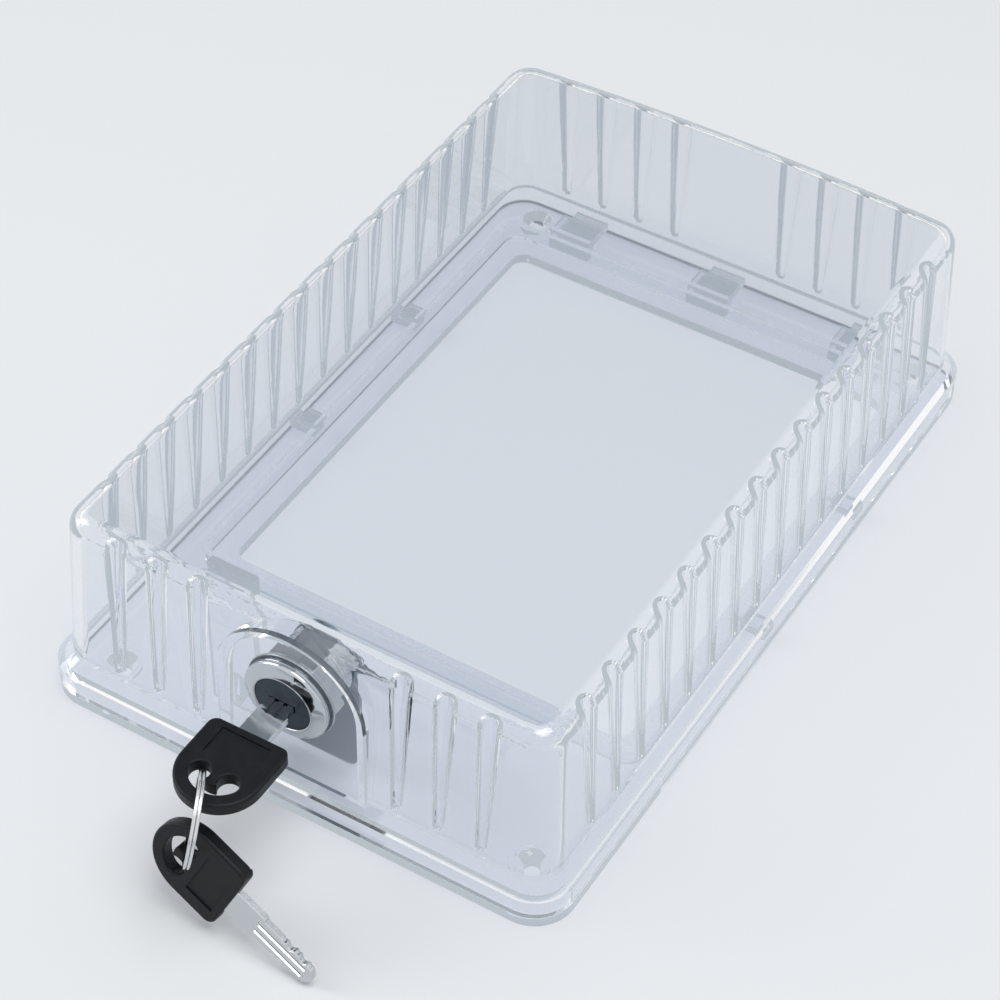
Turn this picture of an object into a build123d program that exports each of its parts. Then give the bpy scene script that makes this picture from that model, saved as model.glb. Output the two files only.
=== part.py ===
"""Lockable clear guard for a wall thermostat.

A clear base frame is screwed to the wall round the thermostat.  A clear fluted
cover slides onto three hooks at the back edge and four side lugs, and a cam lock
in its front wall turns its cam in front of a tall catch post on the base.

Millimetres.  X across, Y from the lock wall (-Y) to the hook wall (+Y), Z away
from the wall that the guard is fixed to.  Origin: centre of the base's back face.
"""

from build123d import *
import math
import os

os.makedirs("parts", exist_ok=True)

# ---------------------------------------------------------------- driving sizes
# Base and the skirt of the cover that stands on it
FLANGE_W = 153.0
FLANGE_L = 233.5
FLANGE_R = 11.2
PLATE_T = 3.0
SEAT_GAP = 0.15  # between the base plate and the cover's rim
RUN = 0.07  # radial running clearance in the lock
FIT = 0.1  # clearance of parts that are pushed together

# Cover
HEIGHT = 60.5
WALL = 2.5
SKIRT_TOP = 9.0  # the skirt is upright up to here, then slopes in
FOOT_Z = 12.5  # the walls start here
FOOT_INSET = 3.6  # from the flange's edge to the foot of the long walls
END_INSET = 3.75  # the same at the two short walls
FOOT_R = 9.0
TOP_R = 8.0
SIDE_DRAFT = 1.9  # how far a long wall leans in over its height
FRONT_DRAFT = 3.2
BACK_DRAFT = 1.8
BACK_BOW = 3.0  # the back wall bulges out this far at the top
EDGE_R = 5.4  # rounding round the top

# Flutes: grooves outside, ribs inside
FLUTE_PITCH = 12.17
FLUTES_LONG = 16
FLUTES_BACK = 4  # on each side of the plain middle
FLUTES_FRONT = 3
BACK_FIRST_X = 17.5
FRONT_FIRST_X = 29.4
FLUTE_LOW = 2.3  # from the foot of the wall to the closed end
FLUTE_R_LOW = 1.2
FLUTE_R_TOP = 2.85
FLUTE_END = 0.55  # how much of the radius is left at the very end
RIB_SKIN = 1.7  # plastic left round a groove

# Lock seat, a raised arch on the front wall
LOCK_Z = 39.7
SEAT_OUT = 2.85  # from the flange's front edge back to the seat's face
ARCH_R = 21.5
ARCH_Z = 38.5
ARCH_FOOT = 9.8

# Cam lock
BEZEL_R = 12.0
BEZEL_T = 2.8
BEZEL_BEVEL = 1.4
FACE_R = 7.9
FACE_T = 2.0
FACE_SINK = 0.2
BARREL_R = 9.4
BARREL_L = 14.3
BARREL_FLATS = 16.0
PLUG_R = 6.2
STOP_R = 7.4
STOP_T = 1.2
STOP_TAB_W = 3.0
STOP_LUG_T = 1.35
STOP_PLAY = 2.0  # degrees, at each end of the turn
TURN = 90.0
TAIL = 6.0
CAM_T = 1.5
CAM_W = 19.6
CAM_FLOOR_GAP = 2.2
CAM_CORNER = 3.0
NUT_AF = 22.0
NUT_T = 4.0
WASHER_T = 0.7
WASHER_R = 12.6
SCREW_R = 1.5
SCREW_HEAD_R = 3.5
SCREW_HEAD_T = 2.0
SCREW_L = 4.4
SCREW_SLOT = 0.9
SCREW_WASHER_R = 4.6
SCREW_WASHER_T = 0.6

# Wafers and their springs
WAFERS = 5
WAFER_PITCH = 2.2
WAFER_T = 1.0
WAFER_H = 5.0
WAFER_FIRST = 0.7  # from the bezel's seat to the first wafer's middle
KEYWAY_W = 7.4
KEYWAY_H = 2.3
EAR_W = 0.9
EAR_TOP = 4.1
EAR_OUT = 4.3
SPRING_R = 0.7
SPRING_BORE = 0.4
SPRING_L = 2.9

# Keys
BOW_W = 22.7
BOW_L = 24.6
BOW_T = 3.8
BOW_CORNER = 2.6
BOW_RIM = 3.6
HOLE_BAND = 2.6
LOBE_R = 2.8
LOBE_ANGLE = 57.0
PANEL_W = 14.0
PANEL_L = 8.5
PANEL_AT = 6.4
PANEL_DEEP = 0.35
NECK_W = 8.5
NECK_L = 9.5
BLADE_W = 7.0
BLADE_T = 2.0
BLADE_L = 26.8
TIP_L = 2.4
TIP_W = 2.6
TANG_L = 8.0
GROOVE_W = 1.5
GROOVE_DEEP = 0.5
BITTING = (0.5, 1.0, 0.3, 1.2, 0.7)
KEY_OUT = 12.2  # from the bezel's face to the bow of the key in the lock

# Split ring
RING_R = 11.6
WIRE_R = 0.5
RING_YAW = 29.2
RING_LEAN = 10.9
RING_CROSS = 1.2  # where round the bow's rim the ring crosses it, degrees
RING_HANG = 5.8  # from the middle of the rim down to the ring's centre
RING_SWING = -9.7  # how far the ring hangs out from under the rim, degrees
SPARE_CROSS = 58.0
SPARE_ROUND = -18.1  # how far round the ring from its foot the spare key hangs, degrees
SPARE_HANG = 6.5
SPARE_X = (0.412, 0.171, 0.895)
SPARE_Z = (0.027, 0.980, -0.199)

# Base fittings
WINDOW_W = 119.0
WINDOW_FRONT = -55.0
WINDOW_BACK = 93.0
WINDOW_R = 4.0
FRAME_GAP = 7.2  # from the window to the outside of the frame rib
FRAME_T = 1.6
FRAME_H = 4.5
FRAME_R = 6.0
HOOKS = 3
HOOK_PITCH = 46.5
HOOK_W = 13.0
HOOK_STEM = 2.6
HOOK_LIP = 5.4
HOOK_REACH = 4.8  # how far a cover tongue reaches under its lip
TONGUE_T = 2.4
TONGUE_LOW = 1.3
TONGUE_W = 10.5
LIP_T = 2.2
LIP_GAP = 0.3
LUG_LIP = 4.0
LUG_L = 5.0
LUG_Y = (-4.0, 48.0)
SLIDE = 6.0
SCREW_X = 61.5
SCREW_FRONT = -100.5
SCREW_BACK = 107.0
SCREW_HOLE_R = 2.3
BOSS_R = 5.2
BOSS_H = 1.4
SINK_R = 4.4
POST_T = 2.4
POST_BEHIND = 0.6  # play between the turned cam and the post
POST_OVERLAP = 12.6
POST_ABOVE = 1.0
GUSSET_T = 1.6
GUSSET_L = 7.0
GUSSET_H = 12.0

# ---------------------------------------------------------------- derived places
half_w = FLANGE_W / 2
half_l = FLANGE_L / 2
rim_z = PLATE_T + SEAT_GAP
foot_x = half_w - FOOT_INSET
foot_y = half_l - END_INSET
top_x = foot_x - SIDE_DRAFT
seat_y = -half_l + SEAT_OUT
inner_seat_y = seat_y + WALL
barrel_end = seat_y + BARREL_L
stop_y = barrel_end + FIT
cam_y = stop_y + STOP_T + FIT
cam_back = cam_y + CAM_T
cam_reach = LOCK_Z - PLATE_T - CAM_FLOOR_GAP
cam_sweep = math.hypot(cam_reach - CAM_CORNER, CAM_W / 2 - CAM_CORNER) + CAM_CORNER
lock_axis = Axis((0, 0, LOCK_Z), (0, 1, 0))
key_plane = Plane(origin=(0, seat_y - BEZEL_T - KEY_OUT, LOCK_Z), x_dir=(1, 0, 0), z_dir=(0, 0, 1))
tongue_z = PLATE_T + TONGUE_LOW
lip_z = tongue_z + TONGUE_T + LIP_GAP
lip_top = lip_z + LIP_T
hook_lip_end = half_l - WALL - SLIDE + 2 * FIT
tongue_tip = hook_lip_end - HOOK_REACH
frame_x = WINDOW_W / 2 + FRAME_GAP


def across(y):
    """Plane square to the lock's axis, X to the right and Z up, seen from the front."""
    return Plane(origin=(0, y, LOCK_Z), x_dir=(1, 0, 0), z_dir=(0, -1, 0))


def save(part, name):
    """Label one finished piece and write it to its own file."""
    part.label = name
    export_step(part, f"parts/{name}.step")


# ---------------------------------------------------------------- cover shell
def plan(height, half_width, front, back, corner, bow=0.0):
    """Plan outline at one height, with the back edge bulging out by bow."""
    with BuildSketch(Plane.XY.offset(height)) as outline:
        with BuildLine():
            Polyline((-half_width, back), (-half_width, front), (half_width, front), (half_width, back))
            ThreePointArc((half_width, back), (0, back + bow), (-half_width, back))
        make_face()
        fillet(outline.vertices(), corner)
    return outline.sketch


def rounded(height, width, length, corner):
    """Rounded rectangle at one height."""
    with BuildSketch(Plane.XY.offset(height)) as outline:
        RectangleRounded(width, length, corner)
    return outline.sketch


def shell_block(inset):
    """The cover's outside as a solid, or its inside when it is inset by the wall."""
    top = HEIGHT - inset
    low = plan(FOOT_Z, foot_x - inset, -foot_y + inset, foot_y - inset, FOOT_R - inset, 0.2)
    high = plan(
        top,
        top_x - inset,
        -foot_y + FRONT_DRAFT + inset,
        foot_y - BACK_DRAFT - inset,
        TOP_R - inset,
        BACK_BOW,
    )
    skirt_size = (FLANGE_W - 2 * inset, FLANGE_L - 2 * inset, FLANGE_R - inset)
    skirt = rounded(rim_z - inset, *skirt_size)
    shoulder = rounded(SKIRT_TOP, *skirt_size)
    foot = rounded(FOOT_Z, 2 * (foot_x - inset), 2 * (foot_y - inset), FOOT_R - inset)
    with BuildPart() as block:
        loft(sections=[low, high], ruled=True)
        fillet(block.faces().sort_by(Axis.Z)[-1].edges(), EDGE_R - inset)
        loft(sections=[shoulder, foot], ruled=True)
        extrude(to_extrude=skirt, amount=SKIRT_TOP - rim_z + inset)
    return block.part


def wall_line(foot, head, outward):
    """Location at the foot of a wall, its Z running up the outer face and its X pointing out."""
    lean = Vector(*head) - Vector(*foot)
    return Plane(origin=foot, x_dir=outward, z_dir=lean).location


def flute_places():
    """Foot locations of every flute, on both long walls and both short walls."""
    places = []
    for i in range(FLUTES_LONG):
        y = (i - (FLUTES_LONG - 1) / 2) * FLUTE_PITCH
        for side in (-1, 1):
            places.append(wall_line((side * foot_x, y, FOOT_Z), (side * top_x, y, HEIGHT), (side, 0, 0)))
    for i in range(FLUTES_BACK):
        x = BACK_FIRST_X + i * FLUTE_PITCH
        bulge = BACK_BOW * (1 - (x / top_x) ** 2)
        for side in (-1, 1):
            head = (side * x, foot_y - BACK_DRAFT + bulge, HEIGHT)
            places.append(wall_line((side * x, foot_y, FOOT_Z), head, (0, 1, 0)))
    for i in range(FLUTES_FRONT):
        x = FRONT_FIRST_X + i * FLUTE_PITCH
        for side in (-1, 1):
            head = (side * x, -foot_y + FRONT_DRAFT, HEIGHT)
            places.append(wall_line((side * x, -foot_y, FOOT_Z), head, (0, -1, 0)))
    return places


def flute(skin):
    """One tapered groove with a bevelled closed end, grown by skin for the rib round it."""
    low_r = FLUTE_R_LOW + skin
    low_z = FLUTE_LOW - skin
    past_z = HEIGHT - FOOT_Z + FLUTE_R_TOP
    with BuildPart() as groove:
        with BuildSketch(Plane.XZ):
            with BuildLine():
                Polyline(
                    (0, low_z),
                    (low_r * FLUTE_END, low_z),
                    (low_r, low_z + low_r),
                    (FLUTE_R_TOP + skin, past_z),
                    (0, past_z),
                    close=True,
                )
            make_face()
        revolve(axis=Axis.Z)
    return groove.part


def seat_arch(y, radius):
    """Arch of the lock seat: a half round on straight legs."""
    with BuildSketch(Plane.XZ.offset(-y)) as arch:
        with Locations((0, ARCH_Z)):
            Circle(radius)
        with Locations((0, (ARCH_Z + ARCH_FOOT) / 2)):
            Rectangle(2 * radius, ARCH_Z - ARCH_FOOT)
    return arch.sketch


def barrel_section(y, clearance):
    """Round with two flats: the barrel, or the hole that keeps it from turning."""
    with BuildSketch(across(y)) as section:
        Circle(BARREL_R + clearance)
        Rectangle(4 * BARREL_R, BARREL_FLATS + 2 * clearance, mode=Mode.INTERSECT)
    return section.sketch


flutes = flute_places()
groove = flute(0)
rib = flute(RIB_SKIN)
outside = shell_block(0)
inside = shell_block(WALL)
seat_depth = FRONT_DRAFT + WALL + 1

with BuildPart() as hollow:
    add(inside)
    with Locations(*flutes):
        add(rib, mode=Mode.SUBTRACT)
    extrude(to_extrude=seat_arch(inner_seat_y, ARCH_R - WALL), amount=-seat_depth)

with BuildPart() as cover:
    add(outside)
    extrude(to_extrude=seat_arch(seat_y, ARCH_R), amount=-seat_depth)
    with Locations(*flutes):
        add(groove, mode=Mode.SUBTRACT)
    add(hollow.part, mode=Mode.SUBTRACT)
    extrude(to_extrude=barrel_section(seat_y, FIT), amount=-seat_depth, both=True, mode=Mode.SUBTRACT)
    with BuildSketch(Plane.XY.offset(tongue_z)):
        tongue_l = half_l - WALL / 2 - tongue_tip
        with Locations((0, tongue_tip + tongue_l / 2)):
            with GridLocations(HOOK_PITCH, 1, HOOKS, 1):
                Rectangle(TONGUE_W, tongue_l)
        side_l = half_w - WALL / 2 - frame_x - LIP_GAP
        for lug_y in LUG_Y:
            with Locations((0, lug_y)):
                with GridLocations(2 * (frame_x + LIP_GAP) + side_l, 1, 2, 1):
                    Rectangle(side_l, LUG_L)
    extrude(amount=TONGUE_T)

save(cover.part, "cover")

# ---------------------------------------------------------------- base
with BuildPart() as base:
    with BuildSketch():
        RectangleRounded(FLANGE_W, FLANGE_L, FLANGE_R)
        with Locations((0, (WINDOW_FRONT + WINDOW_BACK) / 2)):
            RectangleRounded(WINDOW_W, WINDOW_BACK - WINDOW_FRONT, WINDOW_R, mode=Mode.SUBTRACT)
    extrude(amount=PLATE_T)
    # frame rib round the window
    with BuildSketch(Plane.XY.offset(PLATE_T)):
        frame_l = WINDOW_BACK - WINDOW_FRONT + 2 * FRAME_GAP
        with Locations((0, (WINDOW_FRONT + WINDOW_BACK) / 2)):
            RectangleRounded(2 * frame_x, frame_l, FRAME_R)
            inner_r = FRAME_R - FRAME_T
            RectangleRounded(2 * (frame_x - FRAME_T), frame_l - 2 * FRAME_T, inner_r, mode=Mode.SUBTRACT)
    extrude(amount=FRAME_H)
    # back hooks: a stem on the plate and a lip that the cover's tongue slides under
    stem_y = hook_lip_end - HOOK_LIP
    with BuildSketch(Plane.XY.offset(PLATE_T)):
        with Locations((0, stem_y - HOOK_STEM / 2)):
            with GridLocations(HOOK_PITCH, 1, HOOKS, 1):
                Rectangle(HOOK_W, HOOK_STEM)
    extrude(amount=lip_top - PLATE_T)
    with BuildSketch(Plane.XY.offset(lip_z)):
        with Locations((0, hook_lip_end - (HOOK_LIP + HOOK_STEM) / 2)):
            with GridLocations(HOOK_PITCH, 1, HOOKS, 1):
                Rectangle(HOOK_W, HOOK_LIP + HOOK_STEM)
    extrude(amount=LIP_T)
    # side lugs on the frame rib
    with BuildSketch(Plane.XY.offset(PLATE_T)):
        for lug_y in LUG_Y:
            with Locations((0, lug_y)):
                with GridLocations(2 * frame_x - FRAME_T, 1, 2, 1):
                    Rectangle(FRAME_T, LUG_L)
    extrude(amount=lip_top - PLATE_T)
    with BuildSketch(Plane.XY.offset(lip_z)):
        for lug_y in LUG_Y:
            with Locations((0, lug_y)):
                with GridLocations(2 * frame_x - FRAME_T + LUG_LIP, 1, 2, 1):
                    Rectangle(LUG_LIP + FRAME_T, LUG_L)
    extrude(amount=LIP_T)
    # catch post: the turned cam stands in front of it
    post_y = cam_back + POST_BEHIND
    post_left = -cam_sweep - POST_BEHIND
    post_right = -cam_reach + POST_OVERLAP
    post_h = LOCK_Z + CAM_W / 2 + POST_ABOVE - PLATE_T
    with BuildSketch(Plane.XY.offset(PLATE_T)):
        with Locations(((post_left + post_right) / 2, post_y + POST_T / 2)):
            Rectangle(post_right - post_left, POST_T)
    extrude(amount=post_h)
    with BuildSketch(Plane.YZ.offset((post_left + post_right) / 2)):
        with BuildLine():
            back_y = post_y + POST_T
            Polyline((back_y, PLATE_T), (back_y + GUSSET_L, PLATE_T), (back_y, PLATE_T + GUSSET_H), close=True)
        make_face()
    extrude(amount=GUSSET_T / 2, both=True)
    # screw bosses
    screw_mid = (SCREW_FRONT + SCREW_BACK) / 2
    with BuildSketch(Plane.XY.offset(PLATE_T)):
        with Locations((0, screw_mid)):
            with GridLocations(2 * SCREW_X, SCREW_BACK - SCREW_FRONT, 2, 2):
                Circle(BOSS_R)
    extrude(amount=BOSS_H)
    with Locations((0, screw_mid, PLATE_T + BOSS_H)):
        with GridLocations(2 * SCREW_X, SCREW_BACK - SCREW_FRONT, 2, 2):
            CounterSinkHole(SCREW_HOLE_R, SINK_R)

save(base.part, "base")

# ---------------------------------------------------------------- cam lock
face_y = seat_y - BEZEL_T
front_y = face_y + FACE_SINK
bore_y = front_y + FACE_T + FIT
lug_in = STOP_R + RUN + FIT
tab_half = math.degrees(math.asin(STOP_TAB_W / 2 / STOP_R)) + STOP_PLAY
lug_start = -90 + tab_half
lug_size = 360 - TURN - 2 * tab_half
wafer_ys = [seat_y + WAFER_FIRST + i * WAFER_PITCH for i in range(WAFERS)]
tail_end = cam_back - FIT
keyway_end = key_plane.origin.Y + BLADE_L + FIT
ear_low = WAFER_H / 2 - FIT
ear_mid = (ear_low + EAR_TOP) / 2

with BuildPart() as lock_body:
    with BuildSketch(across(seat_y)):
        Circle(BEZEL_R)
    extrude(amount=BEZEL_T)
    chamfer(lock_body.faces().sort_by(Axis.Y)[0].edges(), BEZEL_BEVEL)
    extrude(to_extrude=barrel_section(seat_y, 0), amount=-BARREL_L)
    # stop lug behind the barrel, open over the turn of the stop washer's tab
    with BuildSketch(across(barrel_end)):
        with BuildLine():
            outer = CenterArc((0, 0), BARREL_R, lug_start, lug_size)
            inner = CenterArc((0, 0), lug_in, lug_start, lug_size)
            Line(outer @ 0, inner @ 0)
            Line(outer @ 1, inner @ 1)
        make_face()
        Rectangle(4 * BARREL_R, BARREL_FLATS, mode=Mode.INTERSECT)
    extrude(amount=-STOP_LUG_T)
    with Locations(Plane(origin=(0, face_y, LOCK_Z), z_dir=(0, -1, 0))):
        CounterBoreHole(PLUG_R + RUN, FACE_R + RUN, bore_y - face_y)

save(lock_body.part, "lock_body")

with BuildPart() as lock_plug:
    with BuildSketch(Plane.YZ):
        with BuildLine():
            Polyline(
                (front_y, LOCK_Z),
                (front_y, LOCK_Z + FACE_R),
                (front_y + FACE_T, LOCK_Z + FACE_R),
                (front_y + FACE_T, LOCK_Z + PLUG_R),
                (stop_y, LOCK_Z + PLUG_R),
                (stop_y, LOCK_Z),
                close=True,
            )
        make_face()
    revolve(axis=lock_axis)
    with BuildSketch(across(stop_y)):
        Rectangle(TAIL, TAIL)
    extrude(amount=stop_y - tail_end)
    with BuildSketch(across(front_y)):
        Rectangle(KEYWAY_W, KEYWAY_H)
    extrude(amount=front_y - keyway_end, mode=Mode.SUBTRACT)
    for wafer_y in wafer_ys:
        # slot for the wafer, and the pocket of its spring above it
        with BuildSketch(across(wafer_y)):
            Rectangle(2 * PLUG_R + 1, WAFER_H + FIT)
        extrude(amount=WAFER_T / 2 + RUN, both=True, mode=Mode.SUBTRACT)
        with BuildSketch(across(wafer_y)):
            with Locations((EAR_OUT - EAR_W - SPRING_L - FIT, ear_low)):
                pocket_size = (PLUG_R, EAR_TOP - ear_low + FIT)
                Rectangle(*pocket_size, align=(Align.MIN, Align.MIN))
        extrude(amount=SPRING_R + FIT, both=True, mode=Mode.SUBTRACT)
    with Locations(Plane(origin=(0, tail_end, LOCK_Z), z_dir=(0, 1, 0))):
        Hole(SCREW_R + FIT / 2, depth=SCREW_L)

save(lock_plug.part, "lock_plug")

for number, wafer_y in enumerate(wafer_ys, start=1):
    with BuildPart() as wafer:
        with BuildSketch(across(wafer_y)):
            Circle(PLUG_R - FIT)
            Rectangle(3 * PLUG_R, WAFER_H, mode=Mode.INTERSECT)
            with Locations((EAR_OUT - EAR_W / 2, ear_mid)):
                Rectangle(EAR_W, EAR_TOP - ear_low)
            Rectangle(KEYWAY_W + FIT, KEYWAY_H + FIT, mode=Mode.SUBTRACT)
        extrude(amount=WAFER_T / 2, both=True)
    save(wafer.part, f"wafer_{number}")

    with BuildPart() as wafer_spring:
        spring_z = LOCK_Z + WAFER_H / 2 + FIT + SPRING_R
        spring_x = EAR_OUT - EAR_W - SPRING_L
        with BuildSketch(Plane(origin=(spring_x, wafer_y, spring_z), z_dir=(1, 0, 0))):
            Circle(SPRING_R)
            Circle(SPRING_BORE, mode=Mode.SUBTRACT)
        extrude(amount=SPRING_L)
    save(wafer_spring.part, f"wafer_spring_{number}")

with BuildPart() as lock_washer:
    with BuildSketch(across(inner_seat_y)):
        Circle(WASHER_R)
        Circle(BARREL_R + FIT, mode=Mode.SUBTRACT)
    extrude(amount=-WASHER_T)

save(lock_washer.part, "lock_washer")

with BuildPart() as lock_nut:
    with BuildSketch(across(inner_seat_y + WASHER_T)):
        RegularPolygon(NUT_AF / 2, 6, major_radius=False)
    extrude(amount=-NUT_T)
    with Locations(across(inner_seat_y + WASHER_T + NUT_T)):
        Hole(BARREL_R + FIT)

save(lock_nut.part, "lock_nut")

with BuildPart() as stop_washer:
    with BuildSketch(across(stop_y)):
        Circle(STOP_R)
        with Locations((0, -(BARREL_R + STOP_R / 2) / 2)):
            Rectangle(STOP_TAB_W, BARREL_R - STOP_R / 2)
        Rectangle(TAIL + FIT, TAIL + FIT, mode=Mode.SUBTRACT)
    extrude(amount=-STOP_T)

save(stop_washer.part, "stop_washer")

with BuildPart() as cam:
    with BuildSketch(across(cam_y)) as cam_outline:
        with Locations((0, -cam_reach / 2)):
            Rectangle(CAM_W, cam_reach)
        fillet(cam_outline.vertices().group_by(Axis.Z)[0], CAM_CORNER)
        Circle(CAM_W / 2)
        Rectangle(TAIL + FIT, TAIL + FIT, mode=Mode.SUBTRACT)
    extrude(amount=-CAM_T)

save(cam.part, "cam")

with BuildPart() as cam_washer:
    with BuildSketch(across(cam_back)):
        Circle(SCREW_WASHER_R)
        Circle(SCREW_R + FIT, mode=Mode.SUBTRACT)
    extrude(amount=-SCREW_WASHER_T)

save(cam_washer.part, "cam_washer")

with BuildPart() as cam_screw:
    head_y = cam_back + SCREW_WASHER_T
    with BuildSketch(across(head_y + SCREW_HEAD_T)):
        Circle(SCREW_HEAD_R)
    extrude(amount=SCREW_HEAD_T)
    with BuildSketch(across(head_y + SCREW_HEAD_T)):
        with PolarLocations(0, 2, angular_range=180):
            Rectangle(1.6 * SCREW_HEAD_R, SCREW_SLOT)
    extrude(amount=SCREW_SLOT, mode=Mode.SUBTRACT)
    with BuildSketch(across(head_y)):
        Circle(SCREW_R)
    extrude(amount=SCREW_L)

save(cam_screw.part, "cam_screw")


# ---------------------------------------------------------------- keys
round_y = -BOW_L + BOW_W / 2  # centre of the bow's round end, in the key's own plane
hole_out = BOW_W / 2 - BOW_RIM
lobe_mid = hole_out - LOBE_R


def key_bow(plane):
    """Plastic head: straight at the blade, round at the ring, with a two-lobed hole."""
    half = BOW_W / 2
    with BuildPart() as bow:
        with BuildSketch(plane) as face:
            with BuildLine():
                Polyline((-half, round_y), (-half, 0), (half, 0), (half, round_y))
                CenterArc((0, round_y), half, 180, 180)
            make_face()
            fillet(face.vertices().sort_by_distance(plane.origin)[:2], BOW_CORNER)
            with BuildLine():
                far = CenterArc((0, round_y), hole_out, -90 - LOBE_ANGLE, 2 * LOBE_ANGLE)
                near = CenterArc((0, round_y), hole_out - HOLE_BAND, -90 - LOBE_ANGLE, 2 * LOBE_ANGLE)
                Line(far @ 0, near @ 0)
                Line(far @ 1, near @ 1)
            make_face(mode=Mode.SUBTRACT)
            lobe_turn = math.radians(LOBE_ANGLE)
            lobe_x = lobe_mid * math.sin(lobe_turn)
            lobe_y = round_y - lobe_mid * math.cos(lobe_turn)
            with Locations((-lobe_x, lobe_y), (lobe_x, lobe_y)):
                Circle(LOBE_R, mode=Mode.SUBTRACT)
        extrude(amount=BOW_T / 2, both=True)
        for side in (-1, 1):
            with BuildSketch(plane.offset(side * BOW_T / 2)):
                with Locations((0, -PANEL_AT)):
                    Rectangle(PANEL_W, PANEL_L)
            extrude(amount=-side * PANEL_DEEP, mode=Mode.SUBTRACT)
        with BuildSketch(plane):
            with Locations((0, -TANG_L / 2)):
                Rectangle(BLADE_W + FIT, TANG_L + FIT)
        extrude(amount=(BLADE_T + FIT) / 2, both=True, mode=Mode.SUBTRACT)
    return bow.part


def key_blade(plane):
    """Flat blade with a wide neck, cuts on both edges, a groove and a tang in the bow."""
    half = BLADE_W / 2
    with BuildPart() as blade:
        with BuildSketch(plane):
            with BuildLine():
                outline = Polyline(
                    (0, -TANG_L),
                    (half, -TANG_L),
                    (half, 0),
                    (NECK_W / 2, 0),
                    (NECK_W / 2, NECK_L),
                    (half, NECK_L),
                    (half, BLADE_L - TIP_L),
                    (TIP_W / 2, BLADE_L),
                    (0, BLADE_L),
                )
                mirror(outline, about=Plane.YZ)
            make_face()
            for place, depth in zip(wafer_ys, BITTING):
                along = place - key_plane.origin.Y
                with Locations((half, along), (-half, along)):
                    Rectangle(2 * depth, 2 * depth, rotation=45, mode=Mode.SUBTRACT)
        extrude(amount=BLADE_T / 2, both=True)
        with BuildSketch(plane.offset(BLADE_T / 2)):
            with Locations((0, (NECK_L / 2 + BLADE_L) / 2)):
                Rectangle(GROOVE_W, BLADE_L - NECK_L / 2 + FIT)
        extrude(amount=-GROOVE_DEEP, mode=Mode.SUBTRACT)
    return blade.part


def rim_point(plane, angle):
    """Middle of the bow's rim, at an angle round from its far end."""
    turn = math.radians(angle)
    radius = BOW_W / 2 - BOW_RIM / 2
    return plane.from_local_coords((radius * math.sin(turn), round_y - radius * math.cos(turn), 0))


save(key_bow(key_plane), "key_1_bow")
save(key_blade(key_plane), "key_1_blade")

# The ring hangs from the rim of the first key's bow
yaw = math.radians(RING_YAW)
lean = math.radians(RING_LEAN)
ring_axis = Vector(math.cos(yaw) * math.cos(lean), math.sin(yaw) * math.cos(lean), -math.sin(lean))
ring_up = Vector(math.cos(yaw) * math.sin(lean), math.sin(yaw) * math.sin(lean), math.cos(lean))
hang_point = Vector(rim_point(key_plane, RING_CROSS))
ring_side = ring_axis.cross(ring_up)
swing = math.radians(RING_SWING)
ring_centre = hang_point - (ring_up * math.cos(swing) + ring_side * math.sin(swing)) * RING_HANG

with BuildPart() as key_ring:
    with BuildSketch(Plane(origin=ring_centre, x_dir=ring_up, z_dir=ring_side)):
        with Locations((RING_R, WIRE_R - FIT / 2), (RING_R, FIT / 2 - WIRE_R)):
            Circle(WIRE_R)
    revolve(axis=Axis(ring_centre, ring_axis))

save(key_ring.part, "key_ring")

# The spare key hangs in the lower part of the ring, its tip near the table
turn = math.radians(SPARE_ROUND)
spare_down = ring_side * math.sin(turn) - ring_up * math.cos(turn)
spare_hang = ring_centre + spare_down * SPARE_HANG
aligned = Plane(origin=(0, 0, 0), x_dir=SPARE_X, z_dir=SPARE_Z)
spare_plane = Plane(origin=spare_hang - Vector(rim_point(aligned, SPARE_CROSS)), x_dir=SPARE_X, z_dir=SPARE_Z)

save(key_bow(spare_plane), "key_2_bow")
save(key_blade(spare_plane), "key_2_blade")
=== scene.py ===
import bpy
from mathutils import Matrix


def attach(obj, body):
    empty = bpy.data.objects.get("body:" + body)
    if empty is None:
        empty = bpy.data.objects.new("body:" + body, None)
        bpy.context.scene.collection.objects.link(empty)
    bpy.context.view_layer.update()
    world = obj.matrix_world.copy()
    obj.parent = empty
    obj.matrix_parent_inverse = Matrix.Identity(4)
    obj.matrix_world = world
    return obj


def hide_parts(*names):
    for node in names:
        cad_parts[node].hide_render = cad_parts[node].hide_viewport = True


bl_info = {
    "name": "Thermostat lock box",
    "version": (1, 0, 0),
    "blender": (4, 5, 0),
    "location": "3D View > Sidebar > Lock box",
    "description": "Dresses the packed guard box, its cam lock and its keys in a small studio",
    "category": "Object",
}

import math

import bmesh
import bpy
from mathutils import Matrix, Vector

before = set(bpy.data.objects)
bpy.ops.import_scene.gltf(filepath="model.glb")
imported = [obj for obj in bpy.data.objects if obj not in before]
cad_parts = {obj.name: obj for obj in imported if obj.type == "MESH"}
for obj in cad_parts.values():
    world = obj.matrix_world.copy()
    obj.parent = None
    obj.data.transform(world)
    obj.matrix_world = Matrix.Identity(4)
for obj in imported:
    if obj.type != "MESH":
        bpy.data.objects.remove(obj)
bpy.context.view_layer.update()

MM = 0.001


def colour(code):
    """An sRGB hex value as linear RGB."""
    parts = [int(code[i : i + 2], 16) / 255 for i in (0, 2, 4)]
    return tuple(c / 12.92 if c <= 0.04045 else ((c + 0.055) / 1.055) ** 2.4 for c in parts)


def opaque(rgb):
    """A colour property with the alpha that a node's socket wants."""
    return (*rgb, 1.0)


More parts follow.
